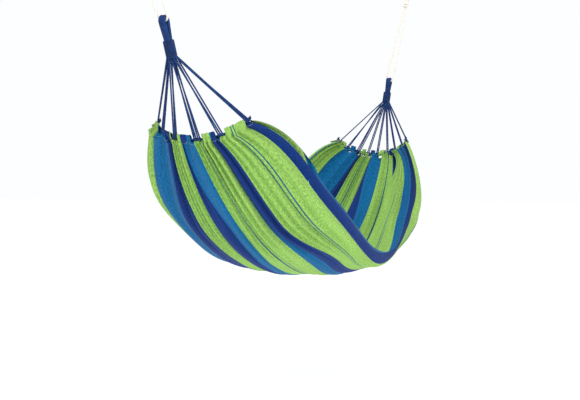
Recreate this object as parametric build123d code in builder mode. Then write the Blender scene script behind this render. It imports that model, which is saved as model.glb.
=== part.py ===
"""Striped cloth hammock with cord harnesses, hanging ropes and ceiling hooks, in millimetres.

The origin is where the left hook's screw enters the ceiling. +X runs along the hammock to the
right hook, +Y across it, +Z up. The hammock is the same on both sides of the plane Y = 0.
"""

import os
from math import asin, atan2, cos, degrees, radians, sin

from build123d import *

# Whole hammock
HOOK_SPAN = 2620.0  # between the two hooks' screws
ROPE_SLOPE = 57.0  # degrees below level, hanging rope
ROPE_RUN = 530.0  # from the bight over the hook to the bight in the eye
HOOK_CLEARANCE = 0.8  # between the rope loop and the hook's wire

# Ceiling hook
WIRE_D = 7.0
BOWL_R = 16.0  # centreline of the hook's bowl
BOWL_DROP = 38.0  # bowl centre below the ceiling
BOWL_OPENING = 20.0  # degrees above level where the wire ends
NECK_OF_HOOK = 24.0  # height of the bend from the screw's line to the side of the bowl
SCREW_D = 7.0
SCREW_LENGTH = 42.0
SCREW_POINT = 9.0
COLLAR_D = 16.0
COLLAR_THICKNESS = 3.0

# Hanging rope
ROPE_D = 8.0
LOOP_HALF_WIDTH = 11.5  # legs either side of the hook's wire
LOOP_BEND_R = 9.5
BIGHT_HALF_WIDTH = 17.0  # legs either side of the eye
BIGHT_BEND_R = 11.5
KNOT_HALF_WIDTH = 5.0  # legs side by side where they enter the knot
KNOT_LENGTH = 38.0
KNOT_D = 27.0
KNOT_ROUNDING = 9.0
LOOP_LENGTH = 78.0  # hook bight to knot centre

# Eye and wrapping
NECK_SLOPE = 65.4  # degrees below level, from the eye down to the fan of cords
BUNDLE_WIDTH = 20.0  # across the hammock
BUNDLE_THICKNESS = 11.0
BUNDLE_ROUNDING = 4.8
EYE_HOLE_WIDTH = 13.0
EYE_HOLE_LENGTH = 44.0
EYE_HOLE_FOOT_R = 2.0
EYE_TOP_TO_WRAP = 74.0
WRAP_LENGTH = 50.0
WRAP_WALL = 2.5
WRAP_ROUNDING = 1.8
NECK_WIDTH = 28.0
NECK_THICKNESS = 18.5
NECK_ROUNDING = 6.0
NECK_STEP = 0.5  # the open bundle is this much thinner than the bound neck

# Harness cords
CORD_D = 4.2
CORD_SPACING = 6.2  # between cords of one group, along the hem
NECK_PITCH = 1.35  # between neighbouring cords across the neck
NECK_ROW = 4.6  # between rows of cords in the neck
NECK_ROWS = (-1.5, 0.5, -0.5, 1.5)  # rows that neighbouring cords take in turn

# Cloth bed
CLOTH_THICKNESS = 5.0  # gathered cloth, with its folds
HEM_INWARD = 155.0  # from the eye's top to the middle of the hem
HEM_DROP = 338.0
BED_SAG = 461.0  # from the middle of the hem down to the lowest line
SAG_POWER = 2.25
# Share of the half length from the middle, then the trough's half width, depth and side radius
STATIONS = (
    (0.0, 322.0, 66.0, 40.0),
    (0.28, 322.0, 112.0, 70.0),
    (0.55, 312.0, 150.0, 95.0),
    (0.80, 262.0, 148.0, 85.0),
)
HEM_HALF_WIDTH = 162.0
HEM_DEPTH = 100.0
HEM_SIDE_R = 50.0

# Tunnel hem with its cord
TUNNEL_LENGTH = 34.0  # along the cloth
TUNNEL_THICKNESS = 13.0
HEM_CORD_D = 5.0
SLIT_PAST_CORD = 4.8  # slit depth beyond the hem cord's centre
SLIT_MARGIN = 6.5  # slit edge beyond the outer cords of a group
HITCH_D = 8.4
HITCH_WIDTH = 4.8
HITCH_BITE = 0.9  # a cord runs this far inside the hitch's round before it is cut to meet it
STOPPER_D = 13.0
STOPPER_LENGTH = 11.5
STOPPER_ROUNDING = 4.4

# Cords tied along the hem: place on the hem, -1 front corner to 1 back corner, and number of cords
LEFT_GROUPS = ((-0.95, 3), (-0.46, 3), (-0.09, 4), (0.31, 3), (0.63, 3), (0.95, 2))
RIGHT_GROUPS = (
    (-0.95, 2),
    (-0.7, 2),
    (-0.46, 2),
    (-0.25, 2),
    (0.0, 2),
    (0.21, 2),
    (0.43, 3),
    (0.68, 2),
    (0.93, 1),
)


def direction(slope):
    """Unit vector pointing down and towards the middle of the hammock, at the left end."""
    return Vector(cos(radians(slope)), 0, -sin(radians(slope)))


class End:
    """One end of the hammock. Places are given as at the left end and mirrored at the right."""

    def __init__(self, name, groups):
        self.name = name
        self.groups = groups
        self.is_right = name == "right"

    def point(self, at):
        return Vector(HOOK_SPAN - at.X, at.Y, at.Z) if self.is_right else at

    def vector(self, along):
        return Vector(-along.X, along.Y, along.Z) if self.is_right else along

    def across(self, origin, normal):
        """Plane across a cord or the neck, with local x along +Y."""
        return Plane(origin=self.point(origin), x_dir=(0, 1, 0), z_dir=self.vector(normal))

    def side(self, origin, up):
        """Plane seen from the side, with local x along up and local y towards the other end."""
        facing = (0, -1, 0) if self.is_right else (0, 1, 0)
        return Plane(origin=self.point(origin), x_dir=self.vector(up), z_dir=facing)


ENDS = (End("left", LEFT_GROUPS), End("right", RIGHT_GROUPS))

# Key points of the left end
rope_way = direction(ROPE_SLOPE)
neck_way = direction(NECK_SLOPE)
bowl_centre = Vector(0, 0, -BOWL_DROP)
wire_point = bowl_centre + rope_way * BOWL_R
loop_top = wire_point - rope_way * (WIRE_D / 2 + ROPE_D / 2 + HOOK_CLEARANCE)
rope_knot = loop_top + rope_way * LOOP_LENGTH
rope_bight = loop_top + rope_way * ROPE_RUN
eye_top = rope_bight - neck_way * (ROPE_D / 2 + BUNDLE_THICKNESS)
wrap_top = eye_top + neck_way * EYE_TOP_TO_WRAP
neck_end = wrap_top + neck_way * WRAP_LENGTH
hem_bottom = eye_top + Vector(HEM_INWARD, 0, -HEM_DROP)
bed_half = HOOK_SPAN / 2 - hem_bottom.X
bed_low = hem_bottom.Z - BED_SAG


def bottom_line(share):
    """Point of the lowest line of the bed and its direction away from the middle, at the left end."""
    at = Vector(HOOK_SPAN / 2 - bed_half * share, 0, bed_low + BED_SAG * share**SAG_POWER)
    rise = BED_SAG * SAG_POWER * share ** (SAG_POWER - 1) / bed_half
    return at, Vector(-1, 0, rise).normalized()


hem_way = bottom_line(1.0)[1]
hem_up = Vector(hem_way.Z, 0, -hem_way.X)
tunnel_start = hem_bottom - hem_way * TUNNEL_LENGTH
channel_centre = hem_bottom - hem_way * (TUNNEL_LENGTH / 2)


def section_plane(origin, way):
    """Plane across the bed, with local x along +Y and local y upwards."""
    return Plane(origin=origin, x_dir=(0, 1, 0), z_dir=way if way.X > 0 else -way)


def trough_curve(plane, half_width, depth, side_r, inset):
    """Line of a trough section from one rim to the other: two side arcs and a wide bottom arc."""
    side_x = half_width - side_r
    bottom_r = (side_x**2 + depth**2 - side_r**2) / (2 * (depth - side_r))
    half_turn = degrees(asin(side_x / (bottom_r - side_r)))
    with BuildLine(plane) as curve:
        CenterArc((-side_x, depth), side_r - inset, 180, 90 - half_turn)
        CenterArc((0, bottom_r), bottom_r - inset, 270 - half_turn, 2 * half_turn)
        CenterArc((side_x, depth), side_r - inset, 270 + half_turn, 90 - half_turn)
    return curve.wires()[0]


def trough_sketch(plane, half_width, depth, side_r, thickness):
    """Band of even thickness inside a trough section, open at the top."""
    outer = trough_curve(Plane.XY, half_width, depth, side_r, 0)
    inner = trough_curve(Plane.XY, half_width, depth, side_r, thickness)
    with BuildSketch(plane) as band:
        with BuildLine():
            add(outer)
            add(inner)
            Line(outer @ 0, inner @ 0)
            Line(outer @ 1, inner @ 1)
        make_face()
    return band.sketch


def hem_curve(end):
    """Centre line of the hem cord, from the front corner to the back corner."""
    plane = section_plane(end.point(channel_centre), end.vector(hem_way))
    return trough_curve(plane, HEM_HALF_WIDTH, HEM_DEPTH, HEM_SIDE_R, TUNNEL_THICKNESS / 2)


left_hem_curve = hem_curve(ENDS[0])


def hem_point(place):
    """Centre of the hem cord at the left end: place is -1 at the front corner and 1 at the back."""
    return left_hem_curve.position_at((place + 1) / 2)


def hem_tangent(place):
    return left_hem_curve.tangent_at((place + 1) / 2)


def cord_places(groups):
    """For each group, the places of its cords along the hem, side by side about the group's own."""
    pitch = 2 * CORD_SPACING / left_hem_curve.length
    return [[place + pitch * (i - (count - 1) / 2) for i in range(count)] for place, count in groups]


def make_hook(end):
    """Screw hook of round wire: pointed screw, collar, and a bowl open towards the hammock."""
    bend_turn = 2 * degrees(atan2(BOWL_R, NECK_OF_HOOK))
    bend_r = NECK_OF_HOOK / (2 * sin(radians(bend_turn)))
    with BuildPart() as hook:
        with BuildLine(end.side(Vector(0, 0, 0), Vector(0, 0, 1))) as wire:
            stem = Line((0, 0), (NECK_OF_HOOK - BOWL_DROP, 0))
            away = JernArc(stem @ 1, (-1, 0), bend_r, -bend_turn)
            back = JernArc(away @ 1, away % 1, bend_r, bend_turn)
            JernArc(back @ 1, (-1, 0), BOWL_R, 180 + BOWL_OPENING)
        with BuildSketch(Plane(origin=wire.line @ 0, z_dir=wire.line % 0)):
            Circle(WIRE_D / 2)
        sweep(path=wire.line)
        with BuildSketch(Plane.XY.move(Location(end.point(Vector(0, 0, -COLLAR_THICKNESS))))):
            Circle(COLLAR_D / 2)
        extrude(amount=COLLAR_THICKNESS)
        with BuildSketch(Plane.XY.move(Location(end.point(Vector(0, 0, 0))))):
            Circle(SCREW_D / 2)
        extrude(amount=SCREW_LENGTH - SCREW_POINT)
        with BuildSketch(Plane.XY.move(Location(end.point(Vector(0, 0, SCREW_LENGTH - SCREW_POINT))))):
            Circle(SCREW_D / 2)
        extrude(amount=SCREW_POINT, taper=degrees(atan2(SCREW_D / 2, SCREW_POINT)) - 1)
    return hook


def rope_tube(end, points, bend_radius):
    """Hanging rope through the points: straight runs joined by arcs of the bend radius."""
    with BuildPart() as tube:
        with BuildLine() as route:
            FilletPolyline(*[end.point(p) for p in points], radius=bend_radius)
        with BuildSketch(Plane(origin=route.line @ 0, z_dir=route.line % 0)):
            Circle(ROPE_D / 2)
        sweep(path=route.line)
    return tube


def make_rope_loop(end):
    """Loop of rope over the hook's wire, both legs going down into the knot."""
    leg = Vector(0, KNOT_HALF_WIDTH, 0)
    side = Vector(0, LOOP_HALF_WIDTH, 0)
    return rope_tube(end, (rope_knot - leg, loop_top - side, loop_top + side, rope_knot + leg), LOOP_BEND_R)


def make_hanging_rope(end):
    """Both legs of the rope from the knot down to the bight that carries the eye."""
    leg = Vector(0, KNOT_HALF_WIDTH, 0)
    side = Vector(0, BIGHT_HALF_WIDTH, 0)
    return rope_tube(
        end, (rope_knot - leg, rope_bight - side, rope_bight + side, rope_knot + leg), BIGHT_BEND_R
    )


def make_rope_knot(end):
    """Overhand knot of the doubled rope, as its outer shape."""
    with BuildPart() as knot:
        with BuildSketch(end.across(rope_knot - rope_way * (KNOT_LENGTH / 2), rope_way)):
            Circle(KNOT_D / 2)
        extrude(amount=KNOT_LENGTH)
        fillet(knot.edges().filter_by(GeomType.CIRCLE), KNOT_ROUNDING)
    return knot


def make_eye(end):
    """Bundle of all the harness cords, turned back on itself, with the neck that the wrap binds."""
    hole_r = EYE_HOLE_WIDTH / 2
    top_r = hole_r + BUNDLE_THICKNESS
    hole_foot = -BUNDLE_THICKNESS - EYE_HOLE_LENGTH + EYE_HOLE_FOOT_R
    with BuildPart() as eye:
        with BuildSketch(end.side(eye_top, -neck_way)):
            with Locations((-top_r, 0)):
                Circle(top_r)
            with Locations((-EYE_TOP_TO_WRAP, 0)):
                Circle(NECK_THICKNESS / 2 - NECK_STEP)
            make_hull()
            with BuildSketch(mode=Mode.PRIVATE) as hole:
                with Locations((-top_r, 0)):
                    Circle(hole_r)
                with Locations((hole_foot, 0)):
                    Circle(EYE_HOLE_FOOT_R)
                make_hull()
            add(hole.sketch, mode=Mode.SUBTRACT)
        extrude(amount=BUNDLE_WIDTH / 2, both=True)
        flat_faces = eye.faces().filter_by(Axis.Y)
        fillet(flat_faces.edges(), BUNDLE_ROUNDING)
        with BuildSketch(end.across(wrap_top, neck_way)):
            RectangleRounded(NECK_WIDTH, NECK_THICKNESS, NECK_ROUNDING)
        extrude(amount=WRAP_LENGTH)
    return eye


def make_wrap(end):
    """Whipping of thin cord wound round the neck, as one sleeve."""
    with BuildPart() as wrap:
        with BuildSketch(end.across(wrap_top, neck_way)):
            RectangleRounded(
                NECK_WIDTH + 2 * WRAP_WALL, NECK_THICKNESS + 2 * WRAP_WALL, NECK_ROUNDING + WRAP_WALL
            )
        extrude(amount=WRAP_LENGTH)
        ends = wrap.faces().filter_by(end.across(wrap_top, neck_way))
        fillet(ends.edges(), WRAP_ROUNDING)
        with BuildSketch(end.across(wrap_top, neck_way)):
            RectangleRounded(NECK_WIDTH, NECK_THICKNESS, NECK_ROUNDING)
        extrude(amount=WRAP_LENGTH, mode=Mode.SUBTRACT)
    return wrap


def make_hem_cord(end):
    """Cord from corner to corner, gripped by the tunnel's cloth and bare in the slits."""
    curve = hem_curve(end)
    with BuildPart() as hem_cord:
        with BuildSketch(Plane(origin=curve @ 0, z_dir=curve % 0)):
            Circle(HEM_CORD_D / 2)
        sweep(path=curve)
    return hem_cord


def make_tunnel(end, places):
    """Cloth folded tightly over the hem cord and stitched, slit open where cords are tied on."""
    with BuildPart() as tunnel:
        for at in (tunnel_start, hem_bottom):
            plane = section_plane(end.point(at), end.vector(hem_way))
            add(trough_sketch(plane, HEM_HALF_WIDTH, HEM_DEPTH, HEM_SIDE_R, TUNNEL_THICKNESS))
        loft()
        for group in places:
            middle = (group[0] + group[-1]) / 2
            foot = end.point(hem_point(middle) - hem_way * SLIT_PAST_CORD)
            width = CORD_SPACING * (len(group) - 1) + CORD_D + 2 * SLIT_MARGIN
            along = end.vector(hem_tangent(middle))
            with BuildSketch(Plane(origin=foot, x_dir=along, z_dir=end.vector(hem_way))):
                Rectangle(width, 2 * TUNNEL_THICKNESS)
            extrude(amount=TUNNEL_LENGTH, mode=Mode.SUBTRACT)
    return tunnel


def make_hitches(end, places, hem_cord):
    """One hitch round the hem cord for each harness cord."""
    with BuildPart() as hitches:
        for place in sum(places, []):
            along = end.vector(hem_tangent(place))
            start = end.point(hem_point(place)) - along * (HITCH_WIDTH / 2)
            with BuildSketch(Plane(origin=start, z_dir=along)):
                Circle(HITCH_D / 2)
            extrude(amount=HITCH_WIDTH)
        add(hem_cord.part, mode=Mode.SUBTRACT)
    return hitches


def make_stoppers(end):
    """Knot at each end of the hem cord that keeps it in the tunnel."""
    with BuildPart() as stoppers:
        for place in (-1, 1):
            with BuildSketch(Plane(origin=end.point(hem_point(place)), z_dir=end.vector(hem_up))):
                Circle(STOPPER_D / 2)
            extrude(amount=STOPPER_LENGTH)
        fillet(stoppers.edges().filter_by(GeomType.CIRCLE), STOPPER_ROUNDING)
    return stoppers


def make_cord_group(end, group, first, total, neighbours):
    """Straight cords of one group, from the neck down to their hitches on the hem cord."""
    with BuildPart() as cords:
        for i, place in enumerate(group):
            number = first + i
            across = NECK_PITCH * (number - (total - 1) / 2)
            row = NECK_ROW * NECK_ROWS[number % len(NECK_ROWS)]
            row_way = Vector(-neck_way.Z, 0, neck_way.X)
            inside = neck_end + Vector(0, across, 0) + row_way * row - neck_way * CORD_D / 2
            way = (hem_point(place) - inside).normalized()
            length = (hem_point(place) - inside).length - HITCH_D / 2 + HITCH_BITE
            with BuildSketch(Plane(origin=end.point(inside), z_dir=end.vector(way))):
                Circle(CORD_D / 2)
            extrude(amount=length)
        for piece in neighbours:
            add(piece.part, mode=Mode.SUBTRACT)
    return cords


def make_bed():
    """Gathered cloth trough, lofted through its cross sections from hem to hem."""
    left = [(tunnel_start, hem_way, HEM_HALF_WIDTH, HEM_DEPTH, HEM_SIDE_R)]
    for share, *shape in reversed(STATIONS):
        left.append((*bottom_line(share), *shape))
    mirrored = ENDS[1]
    right = [(mirrored.point(at), mirrored.vector(way), *shape) for at, way, *shape in left[-2::-1]]
    with BuildPart() as bed:
        for at, way, *shape in left + right:
            add(trough_sketch(section_plane(at, way), *shape, CLOTH_THICKNESS))
        loft()
    return bed


pieces = {"bed_cloth": make_bed()}
for end in ENDS:
    places = cord_places(end.groups)
    hook = make_hook(end)
    knot = make_rope_knot(end)
    loop = make_rope_loop(end)
    rope = make_hanging_rope(end)
    eye = make_eye(end)
    wrap = make_wrap(end)
    hem_cord = make_hem_cord(end)
    tunnel = make_tunnel(end, places)
    hitches = make_hitches(end, places, hem_cord)
    stoppers = make_stoppers(end)
    for tube in (loop, rope):
        tube.part = tube.part - knot.part
    pieces |= {
        f"{end.name}_hook": hook,
        f"{end.name}_rope_loop": loop,
        f"{end.name}_rope_knot": knot,
        f"{end.name}_hanging_rope": rope,
        f"{end.name}_eye": eye,
        f"{end.name}_wrap": wrap,
        f"{end.name}_hem_cord": hem_cord,
        f"{end.name}_tunnel_hem": tunnel,
        f"{end.name}_hitches": hitches,
        f"{end.name}_stoppers": stoppers,
    }
    total = sum(len(group) for group in places)
    first = 0
    for number, group in enumerate(places, 1):
        cords = make_cord_group(end, group, first, total, (eye, wrap, hitches))
        pieces[f"{end.name}_cords_{number}"] = cords
        first += len(group)

os.makedirs("parts", exist_ok=True)
for name, piece in pieces.items():
    piece.part.label = name
    export_step(piece.part, f"parts/{name}.step")
    print(name, len(piece.solids()), "solids", round(piece.part.volume), "mm3")
print("rope bends", LOOP_BEND_R, BIGHT_BEND_R)
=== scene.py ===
"""Looks of the striped cloth hammock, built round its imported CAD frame, in metres.

The frame's origin is where the left hook's screw meets the ceiling: +X runs to the right hook,
+Y across the hammock to its back, +Z up.
"""
import math

import bpy
import numpy as np
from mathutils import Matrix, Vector


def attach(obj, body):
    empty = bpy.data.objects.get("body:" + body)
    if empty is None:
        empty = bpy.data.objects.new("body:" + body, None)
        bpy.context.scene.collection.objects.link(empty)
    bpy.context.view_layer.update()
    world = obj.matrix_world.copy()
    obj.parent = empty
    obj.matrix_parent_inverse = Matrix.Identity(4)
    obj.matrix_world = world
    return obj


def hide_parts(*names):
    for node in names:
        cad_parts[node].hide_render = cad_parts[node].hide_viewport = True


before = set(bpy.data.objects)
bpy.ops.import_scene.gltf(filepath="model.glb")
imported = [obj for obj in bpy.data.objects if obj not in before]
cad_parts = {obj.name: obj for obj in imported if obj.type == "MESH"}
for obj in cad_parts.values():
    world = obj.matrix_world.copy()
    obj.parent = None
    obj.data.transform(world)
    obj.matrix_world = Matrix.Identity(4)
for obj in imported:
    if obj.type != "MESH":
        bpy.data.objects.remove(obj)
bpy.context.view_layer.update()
bpy.context.scene.unit_settings.system = "METRIC"


# ---------------------------------------------------------------- camera and light
# The view of a person standing beyond the left end, a little below the eyes of the harnesses,
# looking almost along the hammock. The room is left out: pale floor, even soft light.
HOOK_SPAN = 2.62
VIEW_TURN = 1.1601  # from +Y towards +X, radians
VIEW_TILT = -0.0161

camera = bpy.data.objects.new("camera", bpy.data.cameras.new("camera"))
bpy.context.scene.collection.objects.link(camera)
camera.location = (-2.414, -1.571, -0.951)
looking = Vector(
    (
        math.sin(VIEW_TURN) * math.cos(VIEW_TILT),
        math.cos(VIEW_TURN) * math.cos(VIEW_TILT),
        math.sin(VIEW_TILT),
    )
)
camera.rotation_mode = "QUATERNION"
camera.rotation_quaternion = looking.to_track_quat("-Z", "Y")
camera.data.sensor_width = 36
camera.data.lens = 67.5  # millimetres
bpy.context.scene.camera = camera

world = bpy.data.worlds.new("studio")
world.use_nodes = True
world.node_tree.nodes["Background"].inputs["Color"].default_value = (0.98, 0.99, 1.0, 1)
light_path = world.node_tree.nodes.new("ShaderNodeLightPath")
strength = world.node_tree.nodes.new("ShaderNodeMapRange")
strength.inputs["To Min"].default_value = 0.58  # what lights the object
strength.inputs["To Max"].default_value = 1.0  # what the camera sees behind it
background = world.node_tree.nodes["Background"]
world.node_tree.links.new(light_path.outputs["Is Camera Ray"], strength.inputs["Value"])
world.node_tree.links.new(strength.outputs["Result"], background.inputs["Strength"])
bpy.context.scene.world = world
bpy.context.scene.view_settings.view_transform = "Standard"


def area_light(name, place, aim, size, power):
    lamp = bpy.data.objects.new(name, bpy.data.lights.new(name, "AREA"))
    lamp.data.size = size
    lamp.data.energy = power
    lamp.location = place
    lamp.rotation_mode = "QUATERNION"
    lamp.rotation_quaternion = (Vector(aim) - Vector(place)).to_track_quat("-Z", "Y")
    bpy.context.scene.collection.objects.link(lamp)


# Each light has a place, an aim, a size in metres and a power in watts.
BED_MIDDLE = (HOOK_SPAN / 2, 0, -1.1)
area_light("key", (-1.6, -2.2, 1.5), BED_MIDDLE, 1.4, 84)
area_light("over", (1.7, 0.3, 1.9), BED_MIDDLE, 1.8, 40)


# ---------------------------------------------------------------- ceiling hooks
# Zinc-plated screw hooks, turned into the ceiling. The CAD shape is the real one: it takes the
# metal finish, and the screw gets its rolled thread.


def line_frames(points):
    """Tangent and two side directions at each point, carried along the line without twist."""
    tangents = np.gradient(points, axis=0)
    tangents /= np.linalg.norm(tangents, axis=1, keepdims=True)
    first = np.cross(tangents[0], (0.31, 0.87, 0.39))
    sides = [first / np.linalg.norm(first)]
    for tangent in tangents[1:]:
        side = sides[-1] - tangent * (sides[-1] @ tangent)
        sides.append(side / np.linalg.norm(side))
    sides = np.array(sides)
    return tangents, sides, np.cross(tangents, sides)


class Shape:
    """Collects tubes into one mesh."""

    def __init__(self):
        self.verts, self.faces, self.count = [], [], 0

    def tube(self, points, radius, sides=8, radii=None):
        points = np.asarray(points, float)
        _, side, over = line_frames(points)
        angle = np.linspace(0, 2 * math.pi, sides, endpoint=False)
        size = np.full(len(points), radius) if radii is None else np.asarray(radii)
        ring = np.cos(angle)[:, None] * side[:, None] + np.sin(angle)[:, None] * over[:, None]
        verts = (points[:, None] + size[:, None, None] * ring).reshape(-1, 3)
        start = self.count
        for i in range(len(points) - 1):
            for k in range(sides):
                a = start + i * sides + k
                b = start + i * sides + (k + 1) % sides
                self.faces.append((a, b, b + sides, a + sides))
        last = start + (len(points) - 1) * sides
        self.faces.append(tuple(start + k for k in reversed(range(sides))))
        self.faces.append(tuple(last + k for k in range(sides)))
        self.verts.append(verts)
        self.count += len(verts)

    def laid(self, points, diameter, strands, lay, sides=8, phase=0.0):
        lines, radius = laid_strands(points, diameter, strands, lay, phase)
        for line in lines:
            self.tube(line, radius, sides)

    def build(self, name, material, body, replaced=()):
        mesh = bpy.data.meshes.new(name)
        mesh.from_pydata(np.concatenate(self.verts).tolist(), [], self.faces)
        return finish_piece(name, mesh, material, body, replaced)


def finish_piece(name, mesh, material, body, replaced=()):
    mesh.materials.append(material)
    mesh.polygons.foreach_set("use_smooth", [True] * len(mesh.polygons))
    mesh.update()
    piece = bpy.data.objects.new(name, mesh)
    bpy.context.scene.collection.objects.link(piece)
    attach(piece, body)
    if replaced:
        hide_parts(*replaced)
    return piece


# The two ends mirror each other about the middle of the span. A point is worked out at the
# left end, and place_at() moves it to the end in hand.
ENDS = ("left", "right")


def place_at(end, points):
    points = np.array(points, float)
    if end == "right":
        points[..., 0] = HOOK_SPAN - points[..., 0]
    return points


def new_material(name):
    material = bpy.data.materials.new(name)
    material.use_nodes = True
    nodes = material.node_tree.nodes
    return material, nodes, material.node_tree.links, nodes["Principled BSDF"]


def add_node(nodes, kind, **settings):
    node = nodes.new(kind)
    for key, value in settings.items():
        setattr(node, key, value)
    return node


def mix_colours(nodes, links, factor, first, second, blend="MIX"):
    """A colour mix whose factor and colours are sockets or plain values."""
    mix = add_node(nodes, "ShaderNodeMix", data_type="RGBA", blend_type=blend)
    for socket, value in ((mix.inputs[0], factor), (mix.inputs[6], first), (mix.inputs[7], second)):
        if isinstance(value, bpy.types.NodeSocket):
            links.new(value, socket)
        else:
            socket.default_value = value
    return mix.outputs[2]


hook_steel, nodes, links, shader = new_material("zinc_plated_steel")
place = add_node(nodes, "ShaderNodeTexCoord").outputs["Object"]
cloud = add_node(nodes, "ShaderNodeTexNoise")
cloud.inputs["Scale"].default_value = 180
cloud.inputs["Detail"].default_value = 5
scratch = add_node(nodes, "ShaderNodeTexNoise")
scratch.inputs["Scale"].default_value = 900
for texture in (cloud, scratch):
    links.new(place, texture.inputs["Vector"])
links.new(
    mix_colours(nodes, links, cloud.outputs["Fac"], (0.42, 0.43, 0.45, 1), (0.72, 0.72, 0.7, 1)),
    shader.inputs["Base Color"],
)
rough = add_node(nodes, "ShaderNodeMapRange")
rough.inputs["To Min"].default_value = 0.26
rough.inputs["To Max"].default_value = 0.52
links.new(cloud.outputs["Fac"], rough.inputs["Value"])
links.new(rough.outputs["Result"], shader.inputs["Roughness"])
bump = add_node(nodes, "ShaderNodeBump")
bump.inputs["Strength"].default_value = 0.15
bump.inputs["Distance"].default_value = 0.0002
links.new(scratch.outputs["Fac"], bump.inputs["Height"])
links.new(bump.outputs["Normal"], shader.inputs["Normal"])
shader.inputs["Metallic"].default_value = 1.0


THREAD_PITCH = 0.0026
THREAD_START = 0.0015  # above the ceiling
THREAD_LENGTH = 0.0385
THREAD_R = 0.00345
RIDGE_R = 0.0007
POINT_TIP = 0.0405  # the thread runs out over the screw's point
POINT_LENGTH = 0.0075

for end in ENDS:
    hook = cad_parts[f"{end}_hook"]
    hook.data.materials.clear()
    hook.data.materials.append(hook_steel)
    turns = np.linspace(0, THREAD_LENGTH / THREAD_PITCH, 420)
    height = THREAD_START + turns * THREAD_PITCH
    taper = np.clip((POINT_TIP - height) / POINT_LENGTH, 0.08, 1)
    helix = np.stack(
        [
            THREAD_R * taper * np.cos(2 * math.pi * turns),
            THREAD_R * taper * np.sin(2 * math.pi * turns),
            height,
        ],
        axis=1,
    )
    thread = Shape()
    thread.tube(place_at(end, helix), RIDGE_R, 6, radii=RIDGE_R * np.sqrt(taper))
    thread.build(f"{end}_screw_thread", hook_steel, "ceiling_hooks")


# ---------------------------------------------------------------- hanging ropes
# White three-strand cotton rope, doubled. It hangs from the hook by a small loop above an
# overhand knot, and its bight carries the harness eye.


def yarn_material(name, dark, light, roughness, fuzz, grain):
    """Twisted fibre: colour drifts along the strands, with a fine fibrous bump and a soft sheen."""
    material, nodes, links, shader = new_material(name)
    place = add_node(nodes, "ShaderNodeTexCoord").outputs["Object"]
    drift = add_node(nodes, "ShaderNodeTexNoise")
    drift.inputs["Scale"].default_value = 60
    drift.inputs["Detail"].default_value = 6
    fibre = add_node(nodes, "ShaderNodeTexNoise")
    fibre.inputs["Scale"].default_value = grain
    fibre.inputs["Detail"].default_value = 3
    for texture in (drift, fibre):
        links.new(place, texture.inputs["Vector"])
    spread = add_node(nodes, "ShaderNodeMapRange")
    spread.inputs["From Min"].default_value = 0.3
    spread.inputs["From Max"].default_value = 0.7
    links.new(drift.outputs["Fac"], spread.inputs["Value"])
    base = mix_colours(nodes, links, spread.outputs["Result"], (*dark, 1), (*light, 1))
    speck = add_node(nodes, "ShaderNodeMapRange")
    speck.inputs["From Min"].default_value = 0.35
    speck.inputs["From Max"].default_value = 0.65
    speck.inputs["To Min"].default_value = 0.82
    speck.inputs["To Max"].default_value = 1.12
    links.new(fibre.outputs["Fac"], speck.inputs["Value"])
    speckled = mix_colours(nodes, links, 1.0, base, speck.outputs["Result"], "MULTIPLY")
    links.new(speckled, shader.inputs["Base Color"])
    bump = add_node(nodes, "ShaderNodeBump")
    bump.inputs["Strength"].default_value = 0.55
    bump.inputs["Distance"].default_value = 0.0006
    links.new(fibre.outputs["Fac"], bump.inputs["Height"])
    links.new(bump.outputs["Normal"], shader.inputs["Normal"])
    shader.inputs["Roughness"].default_value = roughness
    shader.inputs["Sheen Weight"].default_value = fuzz
    shader.inputs["Specular IOR Level"].default_value = 0.25
    return material


rope_yarn = yarn_material("rope_yarn", (0.76, 0.72, 0.63), (0.9, 0.87, 0.8), 0.9, 0.35, 1100)


def nurbs_points(name, route):
    """Points along the smooth NURBS spline that has the route's points as control points."""
    curve = bpy.data.curves.new(name + "_route", "CURVE")
    curve.dimensions = "3D"
    spline = curve.splines.new("NURBS")
    spline.points.add(len(route) - 1)
    for point, at in zip(spline.points, route):
        point.co = (*at, 1)
    spline.order_u = 3
    spline.use_endpoint_u = True
    spline.resolution_u = 24
    holder = bpy.data.objects.new(name + "_route", curve)
    bpy.context.scene.collection.objects.link(holder)
    bpy.context.view_layer.update()
    made = holder.evaluated_get(bpy.context.evaluated_depsgraph_get())
    mesh = bpy.data.meshes.new_from_object(made)
    points = np.array([v.co[:] for v in mesh.vertices])
    bpy.data.objects.remove(holder)
    bpy.data.meshes.remove(mesh)
    return points


def resample(points, step):
    """The same line with evenly spaced points."""
    points = np.asarray(points, float)
    gaps = np.linalg.norm(np.diff(points, axis=0), axis=1)
    along = np.concatenate([[0], np.cumsum(gaps)])
    count = max(2, int(round(along[-1] / step)) + 1)
    wanted = np.linspace(0, along[-1], count)
    return np.stack([np.interp(wanted, along, points[:, k]) for k in range(3)], axis=1)


def laid_strands(points, diameter, strands, lay, phase=0.0):
    """Centre lines of strands twisted round a line, and the radius of one strand."""
    _, side, over = line_frames(points)
    gaps = np.linalg.norm(np.diff(points, axis=0), axis=1)
    turn = np.concatenate([[0], np.cumsum(gaps)]) * 2 * math.pi / lay + phase
    radius = diameter * (0.29 if strands == 2 else 0.27)
    offset = diameter / 2 - radius
    lines = []
    for k in range(strands):
        angle = (turn + 2 * math.pi * k / strands)[:, None]
        lines.append(points + offset * (np.cos(angle) * side + np.sin(angle) * over))
    return lines, radius


def downward(slope):
    return np.array([math.cos(math.radians(slope)), 0, -math.sin(math.radians(slope))])


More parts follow.
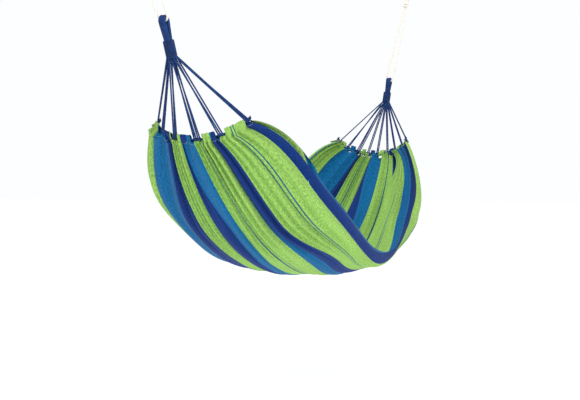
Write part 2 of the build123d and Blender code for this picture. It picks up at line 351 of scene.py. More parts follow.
ACROSS = np.array([0.0, 1.0, 0.0])
ROPE_WAY = downward(57.0)
ROPE_KNOT = np.array([0.04667, 0, -0.10988])
LOOP_TOP = np.array([0.00419, 0, -0.04446])
ROPE_BIGHT = np.array([0.29285, 0, -0.48895])
ROPE_D = 0.008
ROPE_LAY = 0.027
LEG = 0.005 * ACROSS
LOOP_SIDE = 0.0115 * ACROSS
BIGHT_SIDE = 0.017 * ACROSS
NEAR_BIGHT = ROPE_BIGHT - 0.048 * ROPE_WAY
KNOT_ROPE_D = 0.0084  # pulled tight, the rope of the knot spreads a little
KNOT_TURNS = 1.35
KNOT_REACH = 0.0088
KNOT_RISE = 0.019
KNOT_SHIFT = 0.0042


def line_length(points):
    return float(np.linalg.norm(np.diff(points, axis=0), axis=1).sum())


for end in ENDS:
    rope_route = place_at(
        end,
        [
            ROPE_KNOT - LEG,
            NEAR_BIGHT - 0.95 * BIGHT_SIDE,
            ROPE_BIGHT - BIGHT_SIDE,
            ROPE_BIGHT + BIGHT_SIDE,
            NEAR_BIGHT + 0.95 * BIGHT_SIDE,
            ROPE_KNOT + LEG,
        ],
    )
    loop_route = place_at(
        end, [ROPE_KNOT - LEG, LOOP_TOP - LOOP_SIDE, LOOP_TOP + LOOP_SIDE, ROPE_KNOT + LEG]
    )
    for kind, route in (("hanging_rope", rope_route), ("rope_loop", loop_route)):
        line = resample(nurbs_points(f"{end}_{kind}", route), 0.0025)
        rope = Shape()
        rope.laid(line, ROPE_D, 3, ROPE_LAY, 10)
        piece = rope.build(
            f"{end}_{kind}_laid", rope_yarn, "hammock", [f"{end}_{kind}"]
        )

    # The knot: the doubled rope passes round itself and is pulled tight.
    knot = Shape()
    turn = np.linspace(0, 1, 150)
    for shift, phase in ((-KNOT_SHIFT, 0.0), (KNOT_SHIFT, 0.5)):
        angle = 2 * math.pi * (KNOT_TURNS * turn + phase)
        reach = KNOT_REACH * np.sin(math.pi * turn) ** 0.35
        rise = (turn - 0.5) * KNOT_RISE + shift
        coil = (
            ROPE_KNOT
            + rise[:, None] * ROPE_WAY
            + (reach * np.cos(angle))[:, None] * ACROSS
            + (reach * np.sin(angle))[:, None] * np.array([-ROPE_WAY[2], 0, ROPE_WAY[0]])
        )
        knot.laid(resample(place_at(end, coil), 0.002), KNOT_ROPE_D, 3, ROPE_LAY, 10)
    knot.build(f"{end}_rope_knot_laid", rope_yarn, "hammock", [f"{end}_rope_knot"])


# ---------------------------------------------------------------- eyes and whippings
# The harness cords turn back on themselves to form the eye, and a thin cord wound in close
# turns binds the neck below it.
navy_yarn = yarn_material(
    "navy_yarn", (0.003, 0.024, 0.11), (0.007, 0.052, 0.215), 0.85, 0.08, 1400
)
whipping_yarn = yarn_material(
    "whipping_yarn", (0.002, 0.017, 0.085), (0.005, 0.036, 0.155), 0.8, 0.08, 1600
)


CORD_D = 0.0042
CORD_LAY = 0.0105
BUNDLE_ROWS = 5  # cords side by side across the eye
BUNDLE_LAYERS = 3
EYE_HOLE_R = 0.0065
LEG_END = 0.055  # points further from the eye's top than this go on
LEG_TUCK = 0.016  # this much deeper, into the whipping
EYE_TO_WRAP = 0.074
WRAP_LENGTH = 0.050
NECK_WAY = downward(65.4)
NECK_SIDE = np.array([-NECK_WAY[2], 0, NECK_WAY[0]])
EYE_TOP = np.array([0.28661, 0, -0.47531])
WRAP_TOP = EYE_TOP + EYE_TO_WRAP * NECK_WAY
NECK_END = WRAP_TOP + WRAP_LENGTH * NECK_WAY
NECK_WIDTH = 0.028
NECK_THICKNESS = 0.0185
NECK_CORNER = 0.006
WHIP_D = 0.0025
WHIP_TURNS = 20

for end in ENDS:
    bundle = Shape()
    for row in range(BUNDLE_ROWS):
        for layer in range(BUNDLE_LAYERS):
            reach = EYE_HOLE_R + CORD_D * (layer + 0.5)
            shift = (row - (BUNDLE_ROWS - 1) / 2) * CORD_D * (0.97 - 0.1 * (layer == 2))
            foot = 0.0015 + 0.0026 * (layer + 0.5)
            outline = [(EYE_TO_WRAP - 0.014, -foot), (0.052 - 0.003 * layer, -foot * 1.5)]
            for angle in np.radians(np.linspace(-82, 82, 9)):
                outline.append((0.0179 - reach * math.cos(angle), reach * math.sin(angle)))
            outline += [(0.052 - 0.003 * layer, foot * 1.5), (EYE_TO_WRAP - 0.014, foot)]
            route = []
            for down, side in outline:
                if down > LEG_END:
                    down += LEG_TUCK
                route.append(EYE_TOP + down * NECK_WAY + side * NECK_SIDE + shift * ACROSS)
            line = resample(nurbs_points("eye_cord", place_at(end, route)), 0.0016)
            bundle.laid(line, CORD_D * 1.02, 3, CORD_LAY, 6, phase=row + 1.7 * layer)
    bundle.build(f"{end}_eye_cords", navy_yarn, "hammock", [f"{end}_eye"])

    whipping = Shape()
    half_w = NECK_WIDTH / 2 - NECK_CORNER
    half_t = NECK_THICKNESS / 2 - NECK_CORNER
    corner_r = NECK_CORNER + WHIP_D / 2
    outline = []
    for quarter, (sign_y, sign_side) in enumerate(((1, 1), (-1, 1), (-1, -1), (1, -1))):
        for angle in np.radians(np.linspace(90 * quarter + 9, 90 * quarter + 81, 5)):
            outline.append(
                (
                    sign_y * half_w + corner_r * math.cos(angle),
                    sign_side * half_t + corner_r * math.sin(angle),
                )
            )
    steps = WHIP_TURNS * len(outline)
    wound = []
    for i in range(steps):
        y, side = outline[i % len(outline)]
        down = WHIP_D / 2 + (WRAP_LENGTH - WHIP_D) * i / (steps - 1)
        wound.append(WRAP_TOP + down * NECK_WAY + y * ACROSS + side * NECK_SIDE)
    whipping.tube(resample(place_at(end, wound), 0.0022), WHIP_D / 2 * 0.99, 7)
    # The whipping's end is tucked under its last turns and shows as a short tail.
    tail = [
        wound[-1],
        wound[-1] + 0.004 * NECK_WAY - 0.002 * ACROSS,
        wound[-1] + 0.014 * NECK_WAY - 0.003 * ACROSS,
    ]
    whipping.tube(resample(nurbs_points("tail", place_at(end, tail)), 0.0015), WHIP_D / 2 * 0.8, 7)
    # Filling under the turns, so that no gap shows the inside.
    for shift in (-0.0075, 0, 0.0075):
        at = WRAP_TOP + 0.001 * NECK_WAY + shift * ACROSS
        whipping.tube(place_at(end, [at, at + 0.048 * NECK_WAY]), 0.0085, 12)
    whipping.build(f"{end}_whipping", whipping_yarn, "hammock", [f"{end}_wrap"])


# ---------------------------------------------------------------- the bed's surface
# The cloth hangs as a trough: a section of two side arcs and a wide bottom arc, whose size
# changes along the bed. trough() gives points on the section and the way out of it.
CLOTH_WIDTH = 1.0
CLOTH_LENGTH = 2.0
HEM_EDGE = EYE_TOP + np.array([0.155, 0, -0.338])
BED_HALF = HOOK_SPAN / 2 - HEM_EDGE[0]
BED_SAG = 0.461
BED_LOW = HEM_EDGE[2] - BED_SAG
SAG_POWER = 2.25
HEM_LENGTH = 0.034  # of the tunnel, along the cloth
CLOTH_PER_RUN = 1.55  # length of cloth for each metre along X, at the hem
STITCH_SHARE = 1 - HEM_LENGTH / BED_HALF / CLOTH_PER_RUN  # the bed runs between its stitch lines
STATION_SHARES = np.array([0.0, 0.28, 0.55, 0.80, 1.0])
HALF_WIDTHS = np.array([0.322, 0.322, 0.312, 0.262, 0.162])
DEPTHS = np.array([0.066, 0.112, 0.150, 0.148, 0.100])
SIDE_RADII = np.array([0.040, 0.070, 0.095, 0.085, 0.050])


def even_fit(values):
    """Even polynomial through the values at the stations."""
    return np.linalg.solve(np.vander(STATION_SHARES**2, len(values), increasing=True), values)


FITS = [even_fit(values) for values in (HALF_WIDTHS, DEPTHS, SIDE_RADII)]


def bump_at(value, centre, width):
    return np.exp(-(((value - centre) / width) ** 2))


def trough(share, distance, inset=0.0):
    """Across, up, out-across, out-up and total length of the section at a share of the half length.

    distance runs along the section from the front rim. Beyond a rim the line goes straight up.
    """
    inner = np.clip(share / STITCH_SHARE, -1, 1) ** 2
    half_width, depth, side_r = (sum(c * inner**i for i, c in enumerate(fit)) for fit in FITS)
    side_x = half_width - side_r
    bottom_r = (side_x**2 + depth**2 - side_r**2) / (2 * (depth - side_r))
    half_turn = np.arcsin(side_x / (bottom_r - side_r))
    side_arc = side_r * (math.pi / 2 - half_turn)
    total = 2 * side_arc + 2 * bottom_r * half_turn
    distance = distance(total) if callable(distance) else distance
    front = distance < total / 2
    from_rim = np.where(front, distance, total - distance)
    on_side = from_rim < side_arc
    angle = np.where(
        on_side,
        math.pi + np.maximum(from_rim, 0) / side_r,
        1.5 * math.pi - half_turn + (from_rim - side_arc) / bottom_r,
    )
    radius = np.where(on_side, side_r, bottom_r) - inset
    across = np.where(on_side, -side_x, 0) + radius * np.cos(angle)
    up = np.where(on_side, depth, bottom_r) + radius * np.sin(angle) + np.maximum(-from_rim, 0)
    mirror = np.where(front, 1, -1)
    return across * mirror, up, np.cos(angle) * mirror, np.sin(angle), total


def bed_frame(share):
    """Lowest point of the section and its upward direction, for shares from -1 left to 1 right."""
    x = HOOK_SPAN / 2 + BED_HALF * share
    z = BED_LOW + BED_SAG * np.abs(share) ** SAG_POWER
    rise = np.sign(share) * BED_SAG * SAG_POWER * np.abs(share) ** (SAG_POWER - 1) / BED_HALF
    size = np.hypot(1, rise)
    return np.stack([x, 0 * x, z], axis=-1), np.stack([-rise / size, 0 * x, 1 / size], axis=-1)


# Where each edge between stripes lies round the section, from the front rim to the back one,
# at the hems, where two blue stripes are tucked away, near the ends and in the middle. The
# edges fold in over the rims, the front one further in on the right.
EDGE_FLAT = np.array(
    [0.1745, 0.2285, 0.3535, 0.3955, 0.4375, 0.5625, 0.6045, 0.6465, 0.7715, 0.8135, 0.8555, 0.93]
)
EDGE_ENDS = np.array(
    [0.0, 0.062, 0.275, 0.337, 0.347, 0.478, 0.535, 0.592, 0.697, 0.765, 0.868, 1.0]
)
EDGE_HEM = np.array(
    [0.0, 0.075, 0.283, 0.345, 0.352, 0.480, 0.580, 0.592, 0.697, 0.712, 0.868, 1.0]
)
EDGE_MIDDLE = np.array(
    [0.0, 0.062, 0.180, 0.237, 0.300, 0.498, 0.540, 0.580, 0.672, 0.765, 0.880, 1.0]
)
FRONT_FOLD = EDGE_FLAT[0]
BACK_FOLD = EDGE_FLAT[-1]
PLEATS = 31


def smooth_step(value, low, high):
    t = np.clip((value - low) / (high - low), 0, 1)
    return t * t * (3 - 2 * t)


def pleat_phase(u):
    """Pleats of uneven width: the phase of their wave against the place across the cloth."""
    uneven = 0.42 * np.sin(2 * math.pi * 2.3 * u + 0.7) + 0.3 * np.sin(2 * math.pi * 5.1 * u + 2.1)
    return 2 * math.pi * (PLEATS * u + uneven)


def cloth_points(share, u):
    """Points of the cloth, for arrays of the share along the bed and the place across the cloth."""
    middle = 1 - smooth_step(np.abs(share), 0.25, 0.66)
    near_end = smooth_step(np.abs(share), 0.55, 1.0)
    ends_t = np.interp(u, EDGE_FLAT, EDGE_ENDS)
    middle_t = np.interp(u, EDGE_FLAT, EDGE_MIDDLE)
    t = ends_t + (middle_t - ends_t) * middle
    t += (np.interp(u, EDGE_FLAT, EDGE_HEM) - t) * smooth_step(np.abs(share), 0.62, 0.95)
    fold = FRONT_FOLD + 0.060 * smooth_step(share, -0.15, 0.5)
    fold_t = np.interp(fold, EDGE_FLAT, EDGE_ENDS)
    t = np.maximum(t - fold_t, 0) / (1 - fold_t)
    squeeze = 0.93 - 0.40 * near_end
    folded_in = np.maximum(fold - u, 0)
    # The teal stripe is tucked away at the front corner.
    at_corner = 1 - smooth_step(share, -0.84, -0.70)
    folded_in = np.maximum(folded_in - 0.040 * at_corner, 0)
    on_right = smooth_step(share, 0.1, 0.5)
    near_rim = np.minimum(folded_in, 0.084)
    beyond = folded_in - near_rim
    front_flap = near_rim * (squeeze + (1.05 - squeeze) * on_right)
    front_flap += beyond * squeeze * (1 - 0.6 * on_right)
    back_flap = np.maximum(u - BACK_FOLD, 0) * squeeze
    rim_rise = (
        0.024 * bump_at(share, -0.86, 0.16)
        + 0.012 * bump_at(share, -0.12, 0.2)
        + 0.012 * bump_at(share, 0.8, 0.2)
    )

    def distance(total):
        near_front = np.clip(1 - t / 0.25, 0, 1)
        near_back = np.clip((t - 0.75) / 0.25, 0, 1)
        stretch = rim_rise * near_front - 0.6 * rim_rise * near_back
        return t * total - stretch + front_flap - back_flap

    across, up, out_across, out_up, total = trough(share, distance)
    # Both edges hang inside the trough, a little off the wall.
    off_wall = -0.010 * (1 - np.exp(-front_flap / 0.006)) - 0.10 * front_flap
    loose = on_right * (1 - smooth_step(share, 0.62, 0.95))
    off_wall -= (0.40 * beyond + 0.45 * near_rim) * loose
    off_wall -= 0.006 * (1 - np.exp(-back_flap / 0.006))
    # Uneven swell of the hanging cloth.
    off_wall += 0.040 * bump_at(share, -0.83, 0.22) * bump_at(t, 0.95, 0.12)
    off_wall += 0.016 * bump_at(share, -0.08, 0.22) * bump_at(t, 0.4, 0.3)
    off_wall += 0.030 * bump_at(share, 0.5, 0.25) * bump_at(t, 0.12, 0.14)
    # Pleats take up the width that the section does not need.
    spread = 1.0 + 1.35 * smooth_step(np.abs(share), 0.35, 1.0)
    depth_share = np.sqrt(spread**2 - 1) / 4 + 0.055
    height = CLOTH_WIDTH / PLEATS / spread * depth_share
    lively = 0.75 + 0.35 * np.sin(2 * math.pi * (1.7 * u + 0.6 * share)) * np.cos(5 * share + 9 * u)
    phase = pleat_phase(u) + 0.5 * np.sin(4.1 * share + 11 * u)
    wave = np.sin(phase) + 0.22 * np.sin(2 * phase + 1.1)
    broad = np.sin(2 * math.pi * (5.5 * u + 0.23 * np.sin(3 * share)) + 1.5 * share)
    off_wall += height * lively * wave + 0.0032 * broad * (0.4 + middle)
    # A long tuck swallows one teal stripe near the left end.
    tuck = np.clip(1 - np.abs(u - 0.4165) / 0.021, 0, 1) * (1 - smooth_step(share, -0.6, -0.4))
    hem_tucks = sum(np.clip(1 - np.abs(u - place) / 0.021, 0, 1) for place in (0.6255, 0.7925))
    hem_tucks = hem_tucks + 1.1 * np.clip(1 - np.abs(u - 0.535) / 0.026, 0, 1)
    off_wall -= 0.017 * tuck + 0.013 * hem_tucks * smooth_step(np.abs(share), 0.5, 0.85)
    # The free front edge stands up behind the front corner.
    stand = 0.016 * bump_at(share, -0.88, 0.08) * np.sin(math.pi * np.clip(front_flap / 0.08, 0, 1))
    base, upward = bed_frame(share)
    across = across + off_wall * out_across
    up = up + off_wall * out_up + stand
    return base + across[..., None] * ACROSS + up[..., None] * upward


def grid_mesh(name, points, flat, keep=None):
    """Mesh of a grid of points with the flat cloth's coordinates as its UV map."""
    rows, columns = points.shape[:2]
    mesh = bpy.data.meshes.new(name)
    faces, corners = [], []
    for i in range(rows - 1):
        for j in range(columns - 1):
            if keep is not None and not keep[i, j]:
                continue
            corner = i * columns + j
            face = (corner, corner + 1, corner + columns + 1, corner + columns)
            faces.append(face)
            corners.extend(face)
    mesh.from_pydata(points.reshape(-1, 3).tolist(), [], faces)
    layer = mesh.uv_layers.new(name="flat")
    layer.data.foreach_set("uv", flat.reshape(-1, 2)[corners].ravel())
    return mesh


# ---------------------------------------------------------------- cloth bed
# One piece of woven cotton, gathered in lengthwise pleats between the two stitched hems.

# Stripes across the cloth, from the front selvedge: colour and width in metres
GREEN = (0.27, 0.49, 0.105)
BLUE = (0.003, 0.028, 0.165)
TEAL = (0.002, 0.115, 0.29)
STRIPES = (
    (GREEN, 0.1445), (TEAL, 0.042), (BLUE, 0.042), (GREEN, 0.125), (BLUE, 0.042), (TEAL, 0.042),
    (GREEN, 0.125), (TEAL, 0.042), (BLUE, 0.042), (GREEN, 0.125), (BLUE, 0.042), (TEAL, 0.042),
    (GREEN, 0.1445),
)
PIN_GAP = 0.007  # a pair of thin navy lines, this far each side of a green stripe's middle
PIN_WIDTH = 0.0036
PIN_COLOUR = (0.02, 0.11, 0.16, 1)


def step_ramp(nodes, steps):
    """Colour ramp with sharp steps, from a list of (place from 0 to 1, colour)."""
    ramp = add_node(nodes, "ShaderNodeValToRGB")
    ramp.color_ramp.interpolation = "CONSTANT"
    stops = ramp.color_ramp.elements
    stops.remove(stops[1])
    stops[0].position, stops[0].color = steps[0][0], (*steps[0][1], 1)
    for position, colour in steps[1:]:
        stops.new(position).color = (*colour, 1)
    return ramp


def striped_cloth():
    """Woven cotton: dyed stripes, speckled green yarn, thin navy lines, visible yarns."""
    material, nodes, links, shader = new_material("striped_cotton")
    flat = add_node(nodes, "ShaderNodeUVMap", uv_map="flat").outputs["UV"]
    split = add_node(nodes, "ShaderNodeSeparateXYZ")
    links.new(flat, split.inputs["Vector"])
    bands, pins, place = [], [(0.0, (0, 0, 0))], 0.0
    for colour, width in STRIPES:
        bands.append((place, colour))
        if colour == GREEN:
            for offset in (-PIN_GAP, PIN_GAP):
                edge = place + width / 2 + offset - PIN_WIDTH / 2
                pins += [(edge, (1, 1, 1)), (edge + PIN_WIDTH, (0, 0, 0))]
        place += width
    band = step_ramp(nodes, bands)
    pin = step_ramp(nodes, pins)
    for ramp in (band, pin):
        links.new(split.outputs["X"], ramp.inputs["Fac"])
    striped = mix_colours(nodes, links, pin.outputs["Color"], band.outputs["Color"], PIN_COLOUR)

    def cloth_noise(across, along, detail):
        stretch = add_node(nodes, "ShaderNodeMapping")
        stretch.inputs["Scale"].default_value = (across, along, 1)
        noise = add_node(nodes, "ShaderNodeTexNoise")
        noise.inputs["Scale"].default_value = 1.0
        noise.inputs["Detail"].default_value = detail
        links.new(flat, stretch.inputs["Vector"])
        links.new(stretch.outputs["Vector"], noise.inputs["Vector"])
        return noise.outputs["Fac"]

    def ranged(value, low, high, to_low, to_high):
        spread = add_node(nodes, "ShaderNodeMapRange")
        limits = {"From Min": low, "From Max": high, "To Min": to_low, "To Max": to_high}
        for name, number in limits.items():
            spread.inputs[name].default_value = number
        links.new(value, spread.inputs["Value"])
        return spread.outputs["Result"]

    speckle = ranged(cloth_noise(420, 210, 2), 0.36, 0.64, 0.74, 1.3)
    yarns = ranged(cloth_noise(700, 14, 2), 0.35, 0.65, 0.88, 1.1)
    cloudy = ranged(cloth_noise(9, 6, 3), 0.3, 0.7, 0.9, 1.08)
    colour = striped
    for factor in (speckle, yarns, cloudy):
        colour = mix_colours(nodes, links, 1.0, colour, factor, "MULTIPLY")
    links.new(colour, shader.inputs["Base Color"])

    def ridges(source, per_unit):
        turn = add_node(nodes, "ShaderNodeMath", operation="MULTIPLY")
        turn.inputs[1].default_value = 2 * math.pi * per_unit
        wave = add_node(nodes, "ShaderNodeMath", operation="SINE")
        links.new(source, turn.inputs[0])
        links.new(turn.outputs[0], wave.inputs[0])
        return wave.outputs[0]

    weave = add_node(nodes, "ShaderNodeMath", operation="MULTIPLY")
    links.new(ridges(split.outputs["X"], 420), weave.inputs[0])
    links.new(ridges(split.outputs["Y"], 700), weave.inputs[1])
    bump = add_node(nodes, "ShaderNodeBump")
    bump.inputs["Strength"].default_value = 0.35
    bump.inputs["Distance"].default_value = 0.0007
    links.new(weave.outputs[0], bump.inputs["Height"])
    creases = add_node(nodes, "ShaderNodeBump")
    creases.inputs["Strength"].default_value = 0.5
    creases.inputs["Distance"].default_value = 0.004
    links.new(cloth_noise(60, 22, 3), creases.inputs["Height"])
    links.new(bump.outputs["Normal"], creases.inputs["Normal"])
    links.new(creases.outputs["Normal"], shader.inputs["Normal"])
    shader.inputs["Roughness"].default_value = 0.9
    shader.inputs["Sheen Weight"].default_value = 0.06
    shader.inputs["Specular IOR Level"].default_value = 0.12
    return material


cotton = striped_cloth()


ALONG = 150
WIDE = 330
CROWDING = 0.86 * math.pi / 2  # draws the mesh's rows together towards the hems
share_line = np.sin(np.linspace(-CROWDING, CROWDING, ALONG)) / math.sin(CROWDING)
share_grid, u_grid = np.meshgrid(share_line * STITCH_SHARE, np.linspace(0, 1, WIDE), indexing="ij")
bed_points = cloth_points(share_grid, u_grid)
bed_flat = np.stack([u_grid, (share_grid + 1) / 2], axis=-1)
mesh = grid_mesh("cloth", bed_points, bed_flat)
cloth = finish_piece("cloth", mesh, cotton, "hammock", ["bed_cloth"])


# ---------------------------------------------------------------- tunnel hems
# The cloth's end is folded over the hem cord and stitched down. Where harness cords are tied
# on, the tunnel is slit open and the bare hem cord shows.
seam_thread = yarn_material("seam_thread", (0.27, 0.42, 0.14), (0.37, 0.54, 0.2), 0.8, 0.2, 2200)


CORD_SPACING = 0.0062
HEM_INSET = 0.0065
HEM_CORD_D = 0.005
HEM_CORD_LAY = 0.013
SLIT_MARGIN = 0.0065
GROUPS = {
    "left": ((-0.95, 3), (-0.46, 3), (-0.09, 4), (0.31, 3), (0.63, 3), (0.95, 2)),
    "right": (
        (-0.95, 2), (-0.7, 2), (-0.46, 2), (-0.25, 2), (0, 2), (0.21, 2), (0.43, 3), (0.68, 2),
        (0.93, 1),
    ),
}
# The hem seen from its end: along the cloth from the stitch line, and out from the middle.
PROFILE = (
    (0.0, 0.0012), (0.006, 0.004), (0.013, 0.0055), (0.021, 0.0056), (0.028, 0.0042),
    (0.0335, 0.0018), (0.0345, 0.0), (0.0335, -0.0018), (0.028, -0.0042), (0.021, -0.0056),
    (0.013, -0.0055), (0.006, -0.004), (0.0, -0.0012),
)
SLIT_START = 0.0125  # the slits are cut from here out to the fold
HEM_BASE, HEM_UP = bed_frame(np.array(-1.0))
HEM_WAY = np.array([-HEM_UP[2], 0, HEM_UP[0]])  # along the cloth, away from the bed


def hem_line(distance_share, inset):
    """Points on the hem's section, at shares of its length from the front, and the way out."""
    share = np.full_like(distance_share, -1.0)
    across, up, out_across, out_up, _ = trough(share, lambda total: distance_share * total, inset)
    centre = HEM_BASE - HEM_WAY * HEM_LENGTH / 2
    points = centre + across[:, None] * ACROSS + up[:, None] * HEM_UP
    outward = out_across[:, None] * ACROSS + out_up[:, None] * HEM_UP
    return points, outward


def hem_place(place):
    """Centre of the hem cord: place is -1 at the front corner and 1 at the back one."""
    return hem_line(np.atleast_1d((np.asarray(place, float) + 1) / 2), HEM_INSET)[0]


HEM_CORD_LENGTH = line_length(hem_place(np.linspace(-1, 1, 200)))


def cord_places(end):
    pitch = 2 * CORD_SPACING / HEM_CORD_LENGTH
    return [
        [place + pitch * (i - (count - 1) / 2) for i in range(count)]
        for place, count in GROUPS[end]
    ]


HEM_COLUMNS = 420
STITCH_LINES = {}
SEAM = {"Step": 0.0042, "Stitch length": 0.0032, "Thread radius": 0.00055, "Thread": seam_thread}
for end in ENDS:
    t_line = np.linspace(0.0, 1.0, HEM_COLUMNS)
    u_line = np.interp(t_line, EDGE_ENDS, EDGE_FLAT)
    middle_points, outward = hem_line(t_line, HEM_INSET)
    ripple = np.sin(pleat_phase(u_line)) + 0.25 * np.sin(2 * pleat_phase(u_line) + 1.1)
    bed_end = cloth_points(np.full_like(u_line, -STITCH_SHARE), u_line)
    to_bed = bed_end - (middle_points - HEM_WAY * HEM_LENGTH / 2)
    rows = []
    for along, off in PROFILE:
        fullness = 1 + 0.22 * ripple * (1 if off > 0 else -1)
        side = off * fullness
        edge = 0.0012 * ripple * (along / HEM_LENGTH) ** 2
        shift = (along - HEM_LENGTH / 2 + edge)[:, None] * HEM_WAY
        meet = max(0, 1 - along / 0.020) ** 1.5
        rows.append(middle_points + shift + side[:, None] * outward + meet * to_bed)
    hem_points = place_at(end, np.array(rows))
    along_flat = np.array([p[0] for p in PROFILE])
    direction = -1 if end == "left" else 1
    v = 0.5 + direction * (0.5 * STITCH_SHARE + along_flat / CLOTH_LENGTH)
    flat = np.stack(np.broadcast_arrays(u_line[None, :], v[:, None]), axis=-1)
    keep = np.ones((len(PROFILE) - 1, HEM_COLUMNS - 1), bool)
    for group in cord_places(end):
        centre = ((group[0] + group[-1]) / 2 + 1) / 2
        half = (CORD_SPACING * (len(group) - 1) + CORD_D + 2 * SLIT_MARGIN) / 2 / HEM_CORD_LENGTH
        open_columns = np.abs((t_line[:-1] + t_line[1:]) / 2 - centre) < half
        for row in range(len(PROFILE) - 1):
            if (along_flat[row] + along_flat[row + 1]) / 2 > SLIT_START:
                keep[row, open_columns] = False
    mesh = grid_mesh(f"{end}_hem", hem_points, flat, keep)
    finish_piece(
        f"{end}_hem_fold", mesh, cotton, "hammock", [f"{end}_tunnel_hem"]
    )
    # Two lines of stitching, one on each face of the hem, just off the bed.
    STITCH_LINES[end] = [hem_points[1], hem_points[-2]]


def stitch_tree():
    """Geometry Nodes: a stitch of thread at even steps along the line, laid along it."""
    tree = bpy.data.node_groups.new("stitches", "GeometryNodeTree")
    face = tree.interface
    face.new_socket("Geometry", in_out="INPUT", socket_type="NodeSocketGeometry")
    for name in ("Step", "Stitch length", "Thread radius"):
        face.new_socket(name, in_out="INPUT", socket_type="NodeSocketFloat")
    face.new_socket("Thread", in_out="INPUT", socket_type="NodeSocketMaterial")
    face.new_socket("Geometry", in_out="OUTPUT", socket_type="NodeSocketGeometry")
    nodes, links = tree.nodes, tree.links
    inputs, outputs = nodes.new("NodeGroupInput"), nodes.new("NodeGroupOutput")
    to_curve = nodes.new("GeometryNodeMeshToCurve")
    points = nodes.new("GeometryNodeCurveToPoints")
    points.mode = "LENGTH"
    stitch = nodes.new("GeometryNodeMeshIcoSphere")
    stitch.inputs["Subdivisions"].default_value = 2
    shape = nodes.new("GeometryNodeTransform")
    scale = nodes.new("ShaderNodeCombineXYZ")
    half = nodes.new("ShaderNodeMath")
    half.operation = "MULTIPLY"
    half.inputs[1].default_value = 0.5
    place = nodes.new("GeometryNodeInstanceOnPoints")
    real = nodes.new("GeometryNodeRealizeInstances")
    paint = nodes.new("GeometryNodeSetMaterial")
    smooth = nodes.new("GeometryNodeSetShadeSmooth")
    links.new(inputs.outputs["Geometry"], to_curve.inputs["Mesh"])
    links.new(to_curve.outputs["Curve"], points.inputs["Curve"])
    links.new(inputs.outputs["Step"], points.inputs["Length"])
    links.new(inputs.outputs["Stitch length"], half.inputs[0])
    links.new(inputs.outputs["Thread radius"], scale.inputs["X"])
    links.new(inputs.outputs["Thread radius"], scale.inputs["Y"])
    links.new(half.outputs[0], scale.inputs["Z"])
    links.new(stitch.outputs["Mesh"], shape.inputs["Geometry"])
    links.new(scale.outputs["Vector"], shape.inputs["Scale"])
    links.new(points.outputs["Points"], place.inputs["Points"])
    links.new(points.outputs["Rotation"], place.inputs["Rotation"])
    links.new(shape.outputs["Geometry"], place.inputs["Instance"])
    links.new(place.outputs["Instances"], real.inputs["Geometry"])
    links.new(real.outputs["Geometry"], smooth.inputs["Geometry"])
    links.new(smooth.outputs["Geometry"], paint.inputs["Geometry"])
    links.new(inputs.outputs["Thread"], paint.inputs["Material"])
    links.new(paint.outputs["Geometry"], outputs.inputs["Geometry"])
    return tree


stitches = stitch_tree()
for end in ENDS:
    for number, line in enumerate(STITCH_LINES[end], 1):
        mesh = bpy.data.meshes.new("stitch_line")
        mesh.from_pydata(line.tolist(), [(i, i + 1) for i in range(len(line) - 1)], [])
        guide = bpy.data.objects.new("stitch_line", mesh)
        bpy.context.scene.collection.objects.link(guide)
        modifier = guide.modifiers.new("stitches", "NODES")
        modifier.node_group = stitches
        for socket in stitches.interface.items_tree:
            if socket.in_out == "INPUT" and socket.name in SEAM:
                modifier[socket.identifier] = SEAM[socket.name]
        bpy.context.view_layer.update()
        sewn = guide.evaluated_get(bpy.context.evaluated_depsgraph_get())
        made = bpy.data.meshes.new_from_object(sewn)
        bpy.data.objects.remove(guide)
        row = bpy.data.objects.new(f"{end}_stitches_{number}", made)
        bpy.context.scene.collection.objects.link(row)
        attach(row, "hammock")


# ---------------------------------------------------------------- harness
# The hem cord runs through the tunnel to a knot at each corner. Straight laid cords fan
# from the bound neck to hitches round it, and a few of their ends are left as short tails.
NECK_PITCH = 0.00135
NECK_ROW = 0.0046
NECK_ROWS = (-1.5, 0.5, -0.5, 1.5)
CORD_SWELL = 1.34  # the drawn cord against CORD_D, the CAD cord's diameter
HITCH_RING_R = 0.0033
HITCH_CORD_R = 0.00135
HITCH_TURNS = (-0.0013, 0.0013)
CORNER_CORD_R = 0.0018
CORNER_TURNS = ((0.0030, -0.0022), (0.0034, 0.0002), (0.0026, 0.0026))  # ring radius and lift
TAIL_R = 0.0016
TAILS = {"left": (0, 9, 12), "right": (4, 8)}

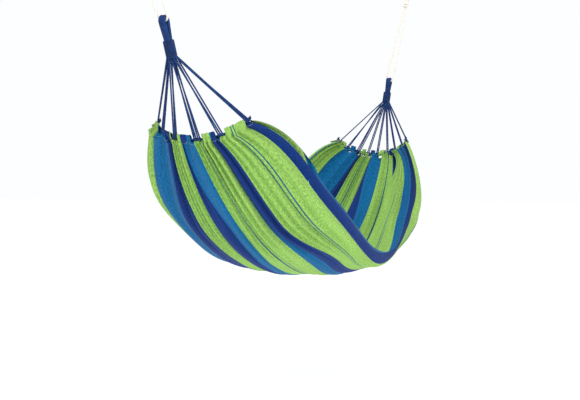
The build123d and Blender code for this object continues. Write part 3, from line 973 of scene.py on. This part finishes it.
for end in ENDS:
    places = cord_places(end)
    flat_places = [place for group in places for place in group]
    hem_cord = Shape()
    hem_cord_line = resample(place_at(end, hem_place(np.linspace(-1.0, 1.0, 90))), 0.002)
    hem_cord.laid(hem_cord_line, HEM_CORD_D, 2, HEM_CORD_LAY, 8)
    hem_cord.build(f"{end}_hem_cord_laid", navy_yarn, "hammock", [f"{end}_hem_cord"])

    knots = Shape()
    for place in (-1, 1):
        centre = hem_place(place)[0] + 0.0058 * HEM_UP
        for turn_index, (ring, lift) in enumerate(CORNER_TURNS):
            angle = np.linspace(0, 2 * math.pi * 0.98, 26) + turn_index
            ring_points = (
                centre
                + (lift + 0.0009 * np.sin(angle))[:, None] * HEM_UP
                + (ring * np.cos(angle))[:, None] * ACROSS
                + (ring * np.sin(angle))[:, None] * HEM_WAY
            )
            knots.tube(place_at(end, ring_points), CORNER_CORD_R, 8)
        tail = [
            centre,
            centre + 0.005 * HEM_UP + 0.001 * HEM_WAY,
            centre + 0.008 * HEM_UP + 0.004 * HEM_WAY,
        ]
        knots.tube(resample(nurbs_points("tail", place_at(end, tail)), 0.0015), CORNER_CORD_R, 8)
    knots.build(f"{end}_corner_knots", navy_yarn, "hammock", [f"{end}_stoppers"])

    hitches = Shape()
    for number, place in enumerate(flat_places):
        centre = hem_place(place)[0]
        along = hem_place(place + 0.01)[0] - hem_place(place - 0.01)[0]
        along /= np.linalg.norm(along)
        outward = np.cross(along, HEM_WAY)
        for step in HITCH_TURNS:
            angle = np.linspace(0, 2 * math.pi * 0.985, 22) + number
            ring_points = (
                centre
                + (step + 0.0006 * np.sin(angle))[:, None] * along
                + (HITCH_RING_R * np.cos(angle))[:, None] * HEM_WAY
                + (HITCH_RING_R * np.sin(angle))[:, None] * outward
            )
            hitches.tube(place_at(end, ring_points), HITCH_CORD_R, 7)
        bar = [
            centre + 0.0042 * HEM_WAY - 0.0026 * along,
            centre + 0.0056 * HEM_WAY,
            centre + 0.0042 * HEM_WAY + 0.0026 * along,
        ]
        hitches.tube(resample(nurbs_points("bar", place_at(end, bar)), 0.001), 0.0014, 7)
        if number in TAILS[end]:
            tail = [
                centre + 0.003 * HEM_WAY,
                centre + 0.007 * HEM_WAY + 0.005 * outward,
                centre + 0.016 * HEM_WAY + 0.009 * outward,
            ]
            hitches.tube(resample(nurbs_points("tail", place_at(end, tail)), 0.0015), TAIL_R, 7)
    hitches.build(f"{end}_hitch_turns", navy_yarn, "hammock", [f"{end}_hitches"])

    total = len(flat_places)
    first = 0
    for group_number, group in enumerate(places, 1):
        fan = Shape()
        for i, place in enumerate(group):
            number = first + i
            sideways = NECK_PITCH * (number - (total - 1) / 2)
            row = NECK_ROW * NECK_ROWS[number % len(NECK_ROWS)]
            start = NECK_END + sideways * ACROSS + row * NECK_SIDE - 0.006 * NECK_WAY
            goal = hem_place(place)[0] + 0.003 * HEM_WAY
            line = resample(place_at(end, [start, goal]), 0.0024)
            fan.laid(line, CORD_SWELL * CORD_D, 3, CORD_LAY, 6, phase=number * 1.3)
        fan.build(
            f"{end}_fan_cords_{group_number}", navy_yarn, "hammock",
            [f"{end}_cords_{group_number}"],
        )
        first += len(group)


# ---------------------------------------------------------------- floor
# A pale plain floor, as far below the bed as a hammock of this size hangs.
floor_mesh = bpy.data.meshes.new("floor")
FLOOR_HALF = 40
CLEAR_BELOW = 0.45
FLOOR_Z = BED_LOW - CLEAR_BELOW
corners = [
    (FLOOR_HALF * x, FLOOR_HALF * y, FLOOR_Z) for x, y in ((-1, -1), (1, -1), (1, 1), (-1, 1))
]
floor_mesh.from_pydata(corners, [], [(0, 1, 2, 3)])
floor = bpy.data.objects.new("floor", floor_mesh)
bpy.context.scene.collection.objects.link(floor)
floor_paint, nodes, links, shader = new_material("floor_paint")
shader.inputs["Base Color"].default_value = (0.95, 0.95, 0.95, 1)
shader.inputs["Emission Color"].default_value = (1, 1, 1, 1)
shader.inputs["Emission Strength"].default_value = 0.5
shader.inputs["Roughness"].default_value = 0.9
floor_mesh.materials.append(floor_paint)
